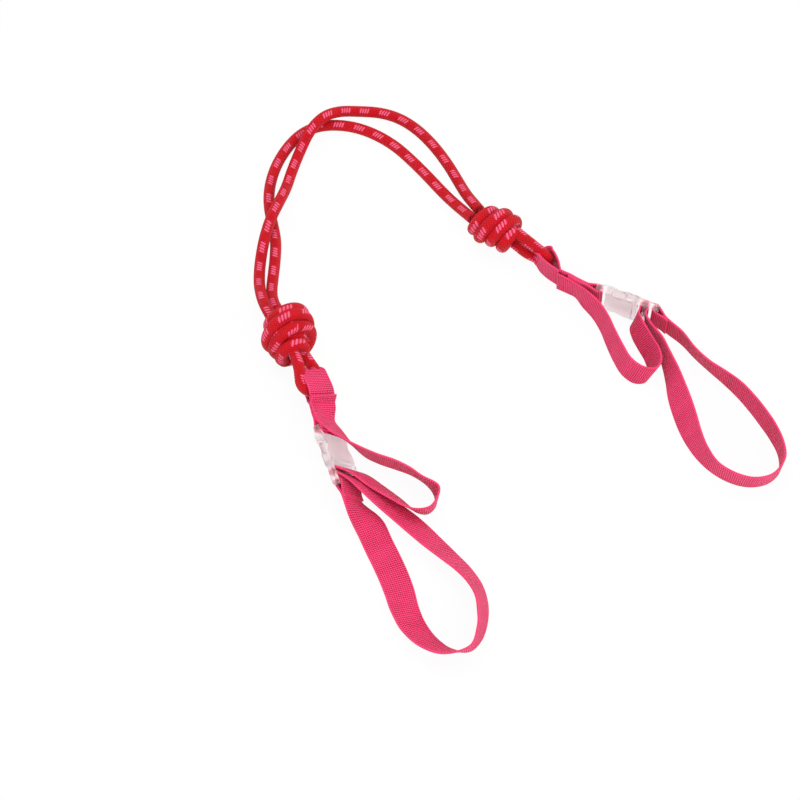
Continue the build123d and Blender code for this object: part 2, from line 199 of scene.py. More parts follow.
def clothOf(graph, f, colour, crown, height):
    # fibre that is less rough on its crowns, with the height as its relief
    sheen, sheenRoughness = f["sheen"]
    graph.shine(
        BaseColor=colour, Roughness=f["roughness"] - crown * f["polish"],
        SheenWeight=sheen, SheenRoughness=sheenRoughness, SpecularIORLevel=f["specular"],
        Normal=graph.bump(height, *f["relief"]),
    )
    return graph.material


ropeFinish = {
    "carriers": 16,          # yarns that run each way round the rope
    "plait": 1.65,           # length of one plait, mm
    "round": 25.13,          # distance round the rope, mm
    "over": 0.10,            # how softly one family of yarns passes over the other
    "crownAlong": 0.9,       # powers that shape a yarn's crown
    "crownAcross": 0.35,
    "fuzz": (2.2, 3.0),      # scale and detail of the fine unevenness, and of the broad one
    "wide": (0.16, 2.0),
    "weights": (0.85, 0.45, 0.35),  # of crown, fuzz and wide in the tone; the crown's part paints shade into the grooves
    "tone": (0.30, 1.25),    # from the painted shade of the grooves to plain
    "markPeriod": 15.9,      # from one mark to the next in a row, mm
    "markLength": 8.2,
    "markHalfWidth": 2.1,
    "markRows": 3,
    "markSoft": 0.25,        # how softly a mark ends, mm
    "tooth": 2.05,           # from one yarn of a mark to the next, mm
    "slant": 0.35,           # how far a mark's yarns lean along the rope
    "notch": 2.2,            # how much narrower the mark is between its yarns
    "yarn": (0.16, 0.40),    # where a mark's yarn fades out, as shares of a tooth
    "between": 0.12,         # share of the mark's colour between its yarns
    "worn": (0.55, 0.75),    # least strength of a mark, and how it varies
    "heights": (0.25, 0.2),  # of the fuzz and of the marks in the relief; a crown's is 1
    "relief": (0.45 * mm, 0.95),  # depth and strength
    "roughness": 0.56,
    "polish": 0.14,          # how much less rough the crowns are
    "sheen": (0.04, 0.4),    # its weight and roughness
    "specular": 0.16,
    # painted shade: dark is the shaded colour of the braid's grooves, plain the lit colour of its
    # crowns
    "dark": (0.38, 0.001, 0.006, 1.0),
    "plain": (0.74, 0.003, 0.014, 1.0),
    "mark": (1.0, 0.15, 0.30, 1.0),
}


def ropeMaterial():
    # Braid: two families of yarns wind round the rope, one each way. Each family's place is
    # carriers * turn +/- length / plait, and sin(pi * a) * sin(pi * b) is above 0 where the first
    # family lies on top. Marks: rows of slanted stitches along the rope, staggered round it.
    f = ropeFinish
    graph = Graph("ropeBraid")
    along, turn = graph.uv("lay")
    first = turn * f["carriers"] + along / f["plait"]
    second = turn * f["carriers"] - along / f["plait"]
    waveA, waveB = (first * math.pi).sine(), (second * math.pi).sine()
    over = (waveA * waveB).ramp(-f["over"], f["over"])
    crownA = abs(waveA) ** f["crownAlong"] * abs(waveB) ** f["crownAcross"]
    crownB = abs(waveB) ** f["crownAlong"] * abs(waveA) ** f["crownAcross"]
    crown = crownA * over + crownB * (1.0 - over)
    place = graph.joined(along, turn * f["round"])
    fuzz, wide = graph.noise(place, *f["fuzz"]), graph.noise(place, *f["wide"])

    row = turn * f["markRows"] + 0.5
    sideways = (row.part() - 0.5) * (f["round"] / f["markRows"])
    shifted = along + row.floor() * (f["markPeriod"] / f["markRows"])
    inPeriod = (shifted % f["markPeriod"]) - f["markPeriod"] / 2
    halfLength, soft = f["markLength"] / 2, f["markSoft"]
    inLength = 1.0 - abs(inPeriod).ramp(halfLength - soft, halfLength + soft)
    slanted = ((inPeriod + sideways * f["slant"]) / f["tooth"]).part() - 0.5
    yarn = 1.0 - abs(slanted).ramp(*f["yarn"])
    reach = f["markHalfWidth"] - abs(slanted) * f["notch"]
    inWidth = 1.0 - (abs(sideways) - reach).ramp(-soft, soft)
    strength = (f["worn"][0] + wide * f["worn"][1]).least(1.0)
    mark = inLength * inWidth * (f["between"] + yarn * (1.0 - f["between"])) * strength

    # painted shade: the braid is coloured darker in its grooves and lighter on its crowns, with
    # random tone from the noise
    plain = graph.blend(shadeAndToneOf(f, crown, fuzz, wide), f["dark"], f["plain"])
    colour = graph.blend(mark, plain, f["mark"])
    height = crown + fuzz * f["heights"][0] + mark * f["heights"][1]
    return clothOf(graph, f, colour, crown, height)


webFinish = {
    "rib": 1.42,             # length of one weft rib, mm
    "column": 1.42,          # width of one warp column, mm
    "stagger": 0.16,         # how far every other column is shifted, as a share of a rib
    "ribPower": 0.8,         # powers that flatten the crowns
    "columnPower": 0.45,
    "halfWidth": 10.0,
    "edge": (-0.9, -0.6),    # where the woven edge starts, mm from the tape's side
    "edgeHeight": (0.25, 0.45),  # height of the woven edge, and of its ribs
    "fuzz": (1.6, 3.0),
    "wide": (0.09, 2.0),
    "wideStretch": 0.4,
    "weights": (0.95, 0.3, 0.3),
    "tone": (0.32, 1.0),     # from the painted shade of the grooves to the crowns
    "fuzzHeight": 0.2,
    "relief": (0.38 * mm, 0.95),
    "roughness": 0.64,
    "polish": 0.14,
    "sheen": (0.06, 0.35),
    "specular": 0.12,
    # painted shade: groove is the shaded colour between the ribs, crown the lit colour on top of
    # them
    "groove": (0.22, 0.0, 0.010, 1.0),
    "crown": (1.0, 0.066, 0.205, 1.0),
}


def webMaterial():
    # Weave: ribs run across the tape, and every other column of them is shifted by the stagger.
    # A rib's height is |sin| along the tape times |sin| across it, flattened towards the crown.
    f = webFinish
    graph = Graph("webWeave")
    across, along = graph.uv("lay")
    column = across / f["column"]
    shift = (column.floor() % 2.0) * f["stagger"]
    rib = abs(((along / f["rib"] + shift) * math.pi).sine()) ** f["ribPower"]
    ridge = abs((column * math.pi).sine()) ** f["columnPower"]
    edge = (abs(across) - f["halfWidth"]).ramp(*f["edge"])
    crown = rib * ridge * (1.0 - edge) + edge * (f["edgeHeight"][0] + rib * f["edgeHeight"][1])
    fuzz = graph.noise(graph.joined(across, along), *f["fuzz"])
    wide = graph.noise(graph.joined(across * f["wideStretch"], along), *f["wide"])
    # painted shade: the weave is coloured darker in its grooves and on its lower woven edge and
    # lighter on its crowns, with random tone from the noise
    colour = graph.blend(shadeAndToneOf(f, crown, fuzz, wide), f["groove"], f["crown"])
    return clothOf(graph, f, colour, crown, crown + fuzz * f["fuzzHeight"])


threadFinish = {
    "twist": (900.0, 2.0),   # scale and detail of its fine unevenness
    "tone": (0.3, 0.7),      # from the painted shade of the valleys to the crests
    "valley": (0.50, 0.006, 0.060, 1.0),
    "crest": (0.96, 0.10, 0.27, 1.0),
    "relief": (0.08 * mm, 0.6),
    "roughness": 0.55,
    "polish": 0.1,
    "sheen": (0.0, 0.5),
    "specular": 0.3,
}


def threadMaterial():
    # Sewing thread: noise as fine as its twist gives both the colour and the relief, with painted
    # shade: darker in the valleys of the relief and lighter on its crests.
    f = threadFinish
    graph = Graph("sewingThread")
    twist = graph.noise(graph.point(), *f["twist"])
    colour = graph.blend(twist.ramp(*f["tone"]), f["valley"], f["crest"])
    return clothOf(graph, f, colour, twist, twist)


buckleFinish = {
    "clear": (1.0, 0.96, 0.965, 1.0),
    "milky": (1.0, 0.925, 0.94, 1.0),
    "cloud": (110.0, 3.0),   # scale and detail of the milky cloud
    "tone": (0.35, 0.7),     # from clear to milky
    "spark": (2600.0, 2.0),  # scale and detail of the moulded skin
    "roughness": 0.48,
    "sparkRoughness": 0.12,
    "transmission": 0.90,
    "ior": 1.22,
    "relief": (0.05 * mm, 0.4),
}


def buckleMaterial():
    # Frosted moulded plastic: a milky cloud through it and a fine sparked skin.
    f = buckleFinish
    graph = Graph("buckleFrosted")
    place = graph.point()
    cloud = graph.noise(place, *f["cloud"]).ramp(*f["tone"])
    spark = graph.noise(place, *f["spark"])
    graph.shine(
        BaseColor=graph.blend(cloud, f["clear"], f["milky"]),
        Roughness=f["roughness"] + spark * f["sparkRoughness"],
        TransmissionWeight=f["transmission"], IOR=f["ior"],
        Normal=graph.bump(spark, *f["relief"]),
    )
    return graph.material


def plainSight(graph):
    # 1 for what is looked at straight, in gloss or through clear plastic, and 0 for the rest
    path = graph.add("ShaderNodeLightPath").socket.node.outputs
    rays = ("Is Camera Ray", "Is Glossy Ray", "Is Transmission Ray")
    camera, glossy, through = (Signal(graph, path[name]) for name in rays)
    return camera.most(glossy).most(through)


def floorMaterial():
    # a mix of plain white light, where it is looked at, and a pale floor that takes the shadow
    graph = Graph("paleFloor")
    graph.shine(
        BaseColor=floorSet["colour"], Roughness=floorSet["roughness"], SpecularIORLevel=0.0,
    )
    glow = graph.add("ShaderNodeEmission", None, {"Color": white, "Strength": 1.0})
    mixed = graph.add("ShaderNodeMixShader", None, {
        "Fac": plainSight(graph) * floorSet["white"],
        1: Signal(graph, graph.surface.outputs[0]), 2: glow,
    })
    graph.links.new(mixed.socket, graph.nodes["Material Output"].inputs["Surface"])
    return graph.material


def addSky():
    # plain white where it is looked at, and the world's own strength as a light
    world = bpy.data.worlds.new("studio")
    scene.world = world
    sky = Graph("sky", world)
    seen = plainSight(sky)
    sky.shine(Color=white, Strength=seen + (1.0 - seen) * lightSet["worldStrength"])


def addPiece(name, points, faces, material):
    # a smooth-shaded object with its place in its mesh
    mesh = bpy.data.meshes.new(name)
    mesh.from_pydata(points, [], faces)
    mesh.polygons.foreach_set("use_smooth", [True] * len(mesh.polygons))
    mesh.materials.append(material)
    piece = bpy.data.objects.new(name, mesh)
    scene.collection.objects.link(piece)
    return piece


def addFloor():
    half = floorSet["size"] / 2
    corners = [(-half, -half, 0), (half, -half, 0), (half, half, 0), (-half, half, 0)]
    addPiece("floor", corners, [(0, 1, 2, 3)], floorMaterial())


def unit(vectors):
    return vectors / np.linalg.norm(vectors, axis=-1, keepdims=True)


def eased(share):
    # a share from 0 to 1 that starts and stops softly
    return share**2 * (3 - 2 * share)


def runAlong(points):
    # the running length at each point of a line
    return np.concatenate([[0.0], np.cumsum(np.linalg.norm(np.diff(points, axis=0), axis=1))])


def readAt(at, run, values):
    # three columns of values that stand at the runs, read in straight lines between them
    return np.stack([np.interp(at, run, values[:, k]) for k in range(3)], axis=-1)


def addGrid(name, grid, down, over, material):
    # A closed skin from a grid of points: rows run along the piece and columns go round it.
    # Quad (i, j) joins rows i, i+1 and columns j, j+1, the last column meets the first, and a
    # flat face closes each end. down and over are the texture places of rows and columns.
    rows, columns = grid.shape[:2]
    i, j = np.meshgrid(np.arange(rows - 1), np.arange(columns), indexing="ij")
    near, far, step = i * columns, (i + 1) * columns, (j + 1) % columns
    quads = np.stack([near + j, near + step, far + step, far + j], axis=-1).reshape(-1, 4)
    ring = np.arange(columns)
    closing = [ring[::-1].tolist(), ((rows - 1) * columns + ring).tolist()]
    piece = addPiece(name, grid.reshape(-1, 3).tolist(), quads.tolist() + closing, material)
    u = np.stack([down[i], down[i], down[i + 1], down[i + 1]], axis=-1).ravel()
    v = np.stack([over[j], over[j + 1], over[j + 1], over[j]], axis=-1).ravel()
    u = np.concatenate([u, np.repeat([down[0], down[-1]], columns)])
    v = np.concatenate([v, over[:-1][::-1], over[:-1]])
    places = np.stack([u, v], axis=-1)
    piece.data.uv_layers.new(name="lay").data.foreach_set("uv", places.ravel())
    return piece


def smoothLine(rows, step):
    # A cubic through every row: the slope at a row is that of the line from the row before it to
    # the row after it, and each span follows the Hermite polynomials of its two rows and slopes.
    rows = np.asarray(rows, dtype=float)
    place = runAlong(rows[:, :3])
    index = np.arange(len(rows))
    before, after = np.maximum(index - 1, 0), np.minimum(index + 1, len(rows) - 1)
    slope = (rows[after] - rows[before]) / (place[after] - place[before])[:, None]
    at = np.linspace(0.0, place[-1], max(2, int(round(place[-1] / step)) + 1))
    span = np.clip(np.searchsorted(place, at, side="right") - 1, 0, len(rows) - 2)
    width = (place[span + 1] - place[span])[:, None]
    f = (at - place[span])[:, None] / width
    return (
        rows[span] * (2 * f**3 - 3 * f**2 + 1) + slope[span] * width * (f**3 - 2 * f**2 + f)
        + rows[span + 1] * (3 * f**2 - 2 * f**3) + slope[span + 1] * width * (f**3 - f**2)
    )


def evenLine(points, step):
    # the same line with points an even step apart, and the running length at each of them
    run = runAlong(points)
    at = np.linspace(0.0, run[-1], int(round(run[-1] / step)) + 1)
    return readAt(at, run, points), at


def headingVector(heading, pitch):
    # the line along a compass heading that drops by the pitch, both in degrees
    h, p = math.radians(heading), math.radians(pitch)
    return np.array([math.cos(h) * math.cos(p), math.sin(h) * math.cos(p), -math.sin(p)])


def rolledFrame(origin, heading, roll, pitch=0.0):
    # x along the heading, z tipped from straight up to the left by the roll, y = z cross x
    r, x = math.radians(roll), headingVector(heading, pitch)
    left = unit(np.cross([0.0, 0.0, 1.0], x))
    z = np.cross(x, left) * math.cos(r) + left * math.sin(r)
    return {"origin": np.asarray(origin, dtype=float), "x": x, "y": np.cross(z, x), "z": z}


def placed(base, points):
    # points in a frame's own axes, as points of the sling
    points = np.asarray(points, dtype=float)
    return base["origin"] + points @ np.stack([base["x"], base["y"], base["z"]])


ropeSet = {
    "radius": 4.0 * mm,
    "relief": 0.14 * mm,     # how far each yarn's crown stands above the grooves
    "reliefPower": 0.5,      # below 1 flattens the crowns
    "reliefSunk": 0.6,       # share of the relief that lies inside the radius
    "stepsPerPlait": 3,
    "order": 3,              # of the spline that each strand follows
    "splineSteps": 24,
}

# Control points of each strand's line in metres, from the left knot to the right one.
strandPoints = {
    "Front": [
        (-0.1638, 0.0715, 0.0185), (-0.168, 0.080, 0.0185), (-0.1716, 0.0885, 0.0165),
        (-0.1745, 0.0995, 0.012), (-0.1765, 0.1125, 0.007), (-0.1765, 0.128, 0.006),
        (-0.174, 0.145, 0.011), (-0.1695, 0.161, 0.015), (-0.164, 0.177, 0.013),
        (-0.160, 0.193, 0.0065), (-0.1565, 0.210, 0.0045), (-0.151, 0.227, 0.006),
        (-0.144, 0.241, 0.0125), (-0.134, 0.2525, 0.015), (-0.122, 0.261, 0.010),
        (-0.108, 0.265, 0.0045), (-0.0935, 0.2645, 0.004), (-0.079, 0.2595, 0.004),
        (-0.0655, 0.249, 0.004), (-0.053, 0.2335, 0.004), (-0.0425, 0.2155, 0.004),
        (-0.0362, 0.2015, 0.0045), (-0.0308, 0.188, 0.007), (-0.026, 0.1775, 0.011),
        (-0.0215, 0.1685, 0.014),
    ],
    "Back": [
        (-0.155, 0.0755, 0.014), (-0.162, 0.0845, 0.013), (-0.166, 0.094, 0.0095),
        (-0.1676, 0.1045, 0.0062), (-0.167, 0.1175, 0.0046), (-0.166, 0.133, 0.004),
        (-0.166, 0.150, 0.004), (-0.1695, 0.166, 0.004), (-0.1725, 0.1825, 0.004),
        (-0.172, 0.199, 0.004), (-0.168, 0.216, 0.004), (-0.1605, 0.232, 0.004),
        (-0.151, 0.2445, 0.004), (-0.139, 0.2515, 0.004), (-0.125, 0.253, 0.004),
        (-0.110, 0.2505, 0.004), (-0.095, 0.2435, 0.004), (-0.081, 0.233, 0.004),
        (-0.0685, 0.219, 0.004), (-0.0573, 0.205, 0.004), (-0.0482, 0.1925, 0.0042),
        (-0.0395, 0.181, 0.0056), (-0.0322, 0.1705, 0.0095), (-0.0263, 0.161, 0.014),
    ],
}
strandStarts = {"Front": 0.0, "Back": 6.0}  # where the braid and marks start, mm


def splineLine(name, points):
    # the smooth line of a NURBS spline with these control points
    curve = bpy.data.curves.new(name, "CURVE")
    curve.dimensions = "3D"
    curve.resolution_u = ropeSet["splineSteps"]
    spline = curve.splines.new("NURBS")
    spline.points.add(len(points) - 1)
    spline.points.foreach_set("co", np.hstack([points, np.ones((len(points), 1))]).ravel())
    spline.order_u = ropeSet["order"]
    spline.use_endpoint_u = True
    holder = bpy.data.objects.new(name, curve)
    scene.collection.objects.link(holder)
    mesh = bpy.data.meshes.new_from_object(holder)
    line = np.zeros(len(mesh.vertices) * 3)
    mesh.vertices.foreach_get("co", line)
    bpy.data.objects.remove(holder)
    bpy.data.meshes.remove(mesh)
    return line.reshape(-1, 3)


def addRope(name, line, facing, start=0.0, wide=1.0):
    # A braided tube: the section at each point of the line is a circle of the rope's radius plus
    # the braid's relief times |sin(pi a) sin(pi b)| to its power, less the sunk share, for the two
    # families of yarns. The circle's first point looks along facing, and wide stretches it aside.
    f = ropeFinish
    columns = f["carriers"] * ropeSet["stepsPerPlait"]
    line, run = evenLine(line, f["plait"] * mm / ropeSet["stepsPerPlait"])
    tangent = unit(np.gradient(line, axis=0))
    facing = np.atleast_2d(facing)
    here, there = np.linspace(0.0, 1.0, len(line)), np.linspace(0.0, 1.0, len(facing))
    facing = readAt(here, there, facing)
    out = unit(facing - tangent * np.sum(facing * tangent, axis=1, keepdims=True))
    side = np.cross(tangent, out)
    turn = np.arange(columns + 1) / columns
    along = run / mm + start
    a = np.pi * (f["carriers"] * turn[None, :-1] + along[:, None] / f["plait"])
    b = np.pi * (f["carriers"] * turn[None, :-1] - along[:, None] / f["plait"])
    lift = np.abs(np.sin(a) * np.sin(b)) ** ropeSet["reliefPower"] - ropeSet["reliefSunk"]
    radius = ropeSet["radius"] + ropeSet["relief"] * lift
    angle = 2 * np.pi * turn[:-1]
    outward = (radius * np.cos(angle))[..., None] * out[:, None]
    sideways = (radius * np.sin(angle) * wide)[..., None] * side[:, None]
    return addGrid(name, line[:, None] + outward + sideways, along, turn, ropeStuff), line


def fitRope(piece, node):
    # every run of the rope rides on the sling and stands for one of its solids
    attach(piece, "sling")
    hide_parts(node)


def addStrands():
    for name, points in strandPoints.items():
        line = splineLine("line" + name, points)
        piece, path = addRope("rope" + name, line, towardsView, start=strandStarts[name])
        fitRope(piece, "rope_strand_" + name.lower())


# Each end in millimetres and degrees: the socket's bar and the sewn tab's drift to the fold, the
# fold round the rope, the cut end of the small loop, the rope's eye, the knot, and the swing of
# the plug's tab.
ends = {
    "left": {
        "bar": (-126.0, -10.5, 13.5), "heading": -71.0, "roll": 50.0,
        "wrapSide": -1, "nearFace": 1,
        "tabLength": 20.5, "tabDrift": 1.7, "tabLift": 2.4,
        "foldHeading": -68.0, "foldRoll": 30.0, "foldLength": 30.0, "tipAt": 9.8,
        "gather": 0.40, "gatherShift": 1.5, "farShift": 3.8,
        "endBeyond": 2.8, "endShift": 0.8, "seamEnd": 18.0,
        "eyeHeading": -63.0, "eyeRoll": 30.0, "eyePitch": 4.2, "eyeTurn": 9.0,
        "eyeSpread": 5.6, "eyeLength": 17.5, "limbLift": (0.0, 5.0),
        "knotHeading": -68.0, "knotPitch": 11.0, "knotLength": 38.0, "knotTurns": 4.0,
        "knotRadii": (18.5, 19.5, 18.0, 14.0), "knotStart": 0.35, "knotLean": (-0.28, 0.30),
        "loopSwing": 0.0,
    },
    "right": {
        "bar": (59.0, 97.5, 13.4), "heading": -24.0, "roll": 84.0,
        "wrapSide": 1, "nearFace": -1,
        "tabLength": 29.5, "tabDrift": 0.0, "tabLift": 2.2,
        "foldHeading": -61.0, "foldRoll": 86.0, "foldLength": 25.0, "tipAt": 15.5,
        "gather": 0.34, "gatherShift": 5.0, "farShift": 3.0,
        "endBeyond": -3.5, "endShift": -2.6, "seamEnd": 14.0,
        "eyeHeading": -44.0, "eyeRoll": 86.0, "eyePitch": 1.8, "eyeTurn": 5.2,
        "eyeSpread": 5.2, "eyeLength": 20.0, "limbLift": (2.8, 0.0),
        "knotHeading": -30.0, "knotPitch": 2.0, "knotLength": 40.0, "knotTurns": 3.85,
        "knotRadii": (13.5, 15.0, 15.0, 13.5), "knotStart": 0.1, "knotLean": (0.0, -0.26),
        "loopSwing": 26.0,
    },
}
buckleSizes = {
    "barRadius": 1.6,
    "barGap": 0.3,           # between a bar and the webbing round it
    "adjusterAt": 33.8,      # the plug's two bars, from the socket's bar
    "fixedAt": 42.2,
    "loopTab": 11.5,         # length of the tab sewn round the fixed bar
    "pastTab": 1.0,          # how far past it the loop still lies flat
    "slotLeg": 2.2,          # how far aside the webbing leaves the slots by the adjuster bar
    "meetAt": 8.0,           # from a bar to where its two layers lie flat together
}


def endFrames(end):
    # the frames of one end, in metres, each worked out from the one before it
    buckle = rolledFrame(np.multiply(end["bar"], mm), end["heading"], end["roll"])
    drift = np.multiply((-end["tabLength"], end["tabDrift"], end["tabLift"]), mm)
    fold = rolledFrame(placed(buckle, drift), end["foldHeading"], end["foldRoll"])
    tip = placed(fold, (-end["tipAt"] * mm, 0, 0))
    middle = tip - headingVector(end["eyeHeading"], end["eyePitch"]) * end["eyeTurn"] * mm
    eye = rolledFrame(middle, end["eyeHeading"], end["eyeRoll"], end["eyePitch"])
    face = placed(eye, (-end["eyeLength"] * mm, 0, 0))
    knot = rolledFrame(face, end["knotHeading"], end["eyeRoll"], end["knotPitch"])
    swing = math.radians(end["loopSwing"])
    loop = {
        "origin": placed(buckle, (buckleSizes["fixedAt"] * mm, 0, 0)), "y": buckle["y"],
        "x": buckle["x"] * math.cos(swing) - buckle["z"] * math.sin(swing),
        "z": buckle["x"] * math.sin(swing) + buckle["z"] * math.cos(swing),
    }
    return buckle, fold, eye, knot, loop


knotSet = {
    "coilPoints": 560,
    "wide": 1.12,            # how much wider the rope is pressed in the coil
    "wobble": 0.9,           # how far the turns stray from the barrel's outline, mm
    "wobbleRate": 0.63,      # waves for each turn
    "wobbleStart": 1.0,      # where the first wave starts, in radians
    "dipLength": 0.15,       # share of the coil over which it winds out from the core
    "dipShare": 0.14,        # its share of the radius at its very end
    "hideLength": 0.07,      # share of the coil whose end is tucked into the core
    "hideDepth": 8.0,
    "coreInset": 6.0,        # how far the core stays inside the outline, mm
    "coreEnd": 6.5,          # how far it stays from the knot's ends, mm
    "coreRound": 0.22,       # share of the core over which each end is rounded
    "coreTip": 0.1,
    "coreStations": 24,
    "coreSides": 32,
    "coreRun": 30.0,         # length of braid along the core, mm
    "coreRepeats": 2,        # how often the braid repeats round it
}


def barrelRadius(end, share):
    # the outline's four radii stand in the middle of the barrel's four quarters
    return np.interp(share * 4 - 0.5, np.arange(4), end["knotRadii"])


def fromEnds(share, length):
    # 0 at both ends and 1 where it is the length or more from either
    return np.clip(np.minimum(share, 1 - share) / length, 0, 1)


def addKnot(name, end, knot):
    # Barrel knot: the rope's middle is a coil about the knot's axis. Its distance from the axis
    # follows the barrel's outline less half the rope, and it dips to the core at both ends. Each
    # turn leans: it moves along the axis by lean times its distance towards the view and aside.
    rope = ropeSet["radius"] / mm
    inset = rope * knotSet["wide"]
    phase = np.linspace(0.0, 1.0, knotSet["coilPoints"])
    angle = 2 * np.pi * (phase * end["knotTurns"] + end["knotStart"])
    wave = np.sin(angle * knotSet["wobbleRate"] + knotSet["wobbleStart"])
    dip = np.sin(fromEnds(phase, knotSet["dipLength"]) * np.pi / 2)
    sunk = knotSet["dipShare"] + (1 - knotSet["dipShare"]) * dip
    radii = (barrelRadius(end, phase) - rope + knotSet["wobble"] * wave) * sunk
    radial = np.stack([np.zeros_like(angle), np.sin(angle), np.cos(angle)], axis=1)
    outwards = placed(knot, radial) - knot["origin"]
    aside = unit(np.cross(knot["x"], towardsView))
    lean = end["knotLean"][0] * (outwards @ towardsView) + end["knotLean"][1] * (outwards @ aside)
    x = -end["knotLength"] + inset + phase * (end["knotLength"] - 2 * inset)
    x += lean * radii * np.sin(np.pi * phase) ** 0.5
    hidden = 1 - fromEnds(phase, knotSet["hideLength"])
    x += np.sign(0.5 - phase) * knotSet["hideDepth"] * hidden**2
    line = placed(knot, np.column_stack([x, radii[:, None] * radial[:, 1:]]) * mm)
    coil, _ = addRope(name + "KnotCoil", line, outwards, wide=knotSet["wide"])
    for part in (coil, addCore(name, end, knot)):
        fitRope(part, name + "_knot")


def addCore(name, end, knot):
    # The rope's runs inside the coil: a turned body whose radius follows the barrel's outline,
    # and sqrt(1 - (1 - f)^2) towards each end.
    stations = np.linspace(0.0, 1.0, knotSet["coreStations"])
    turn = np.linspace(0.0, 1.0, knotSet["coreSides"] + 1)
    inward = fromEnds(stations, knotSet["coreRound"])
    rounded = np.maximum(np.sqrt(1 - (1 - inward) ** 2), knotSet["coreTip"])
    radius = (barrelRadius(end, stations) - knotSet["coreInset"]) * rounded
    angle = 2 * np.pi * turn[:-1]
    length = end["knotLength"] - 2 * knotSet["coreEnd"]
    run = -end["knotLength"] + knotSet["coreEnd"] + stations * length
    y, z = radius[:, None] * np.cos(angle), radius[:, None] * np.sin(angle)
    x = np.broadcast_to(run[:, None], y.shape)
    grid = placed(knot, np.stack([x, y, z], axis=-1) * mm)
    lay, over = stations * knotSet["coreRun"], turn * knotSet["coreRepeats"]
    return addGrid(name + "KnotCore", grid, lay, over, ropeStuff)


eyeSet = {
    "inKnot": 6.0,           # length of each limb inside the knot, mm
    "bendPoints": 40,
    "limbPoints": 12,
    "liftFrom": 0.4,         # where a limb starts to lift, as a share of the turn's radius
    "liftOver": 0.75,        # and over which share of the eye's length
    "start": 3.0,            # where the eye's braid and marks start, mm
}


def addEye(name, end, eye):
    # The bight below the knot: two straight limbs that touch a round turn. A limb from (-depth,
    # spread) touches the turn at the angle atan2(spread, -depth) - acos(turn / their distance).
    depth, turn, spread = end["eyeLength"] + eyeSet["inKnot"], end["eyeTurn"], end["eyeSpread"]
    touch = math.atan2(spread, -depth) - math.acos(turn / math.hypot(depth, spread))
    sweep = np.linspace(touch, -touch, eyeSet["bendPoints"])
    bend = np.stack([turn * np.cos(sweep), turn * np.sin(sweep), 0 * sweep], axis=1)
    limb = np.linspace([-depth, spread, 0.0], bend[0], eyeSet["limbPoints"])[:-1]
    local = np.concatenate([limb, bend, limb[::-1] * (1, -1, 1)])
    # each limb is lifted towards the knot
    first = turn * eyeSet["liftFrom"]
    share = (first - local[:, 0]) / (first + end["eyeLength"] * eyeSet["liftOver"])
    lift = np.where(local[:, 1] < 0, end["limbLift"][1], end["limbLift"][0])
    local[:, 2] += end["nearFace"] * lift * eased(np.clip(share, 0, 1))
    line, facing = placed(eye, local * mm), eye["z"] * end["nearFace"]
    piece, _ = addRope(name + "RopeEye", line, facing, start=eyeSet["start"])
    fitRope(piece, name + "_rope_eye")


webSet = {
    "width": 20.0,
    "thick": 1.3,
    "step": 0.8,             # from one row of points to the next, mm
    "columns": 30,
    "corner": (0.35, 0.08),  # where the rounding of its edges starts and turns, mm
    "cornerHeight": 0.72,    # share of half the thickness where it turns
    "pleats": 2.5,           # folds across the webbing where it is gathered
    "tightest": 0.15,        # least share of its width that a gather draws it to
    "layer": 0.67,           # from the middle of two sewn layers to the middle of one
    "lie": 2.05,             # from there to the middle of the strap sewn on top
    "neck": (4.6, 1.5),      # place beside a bar where the two layers close in
    "barReach": 110.0,       # how far round a bar it goes each way, degrees
    "barRows": 7,
    "tabRows": 4,
}
wrapRadius = buckleSizes["barRadius"] + buckleSizes["barGap"] + webSet["thick"] / 2

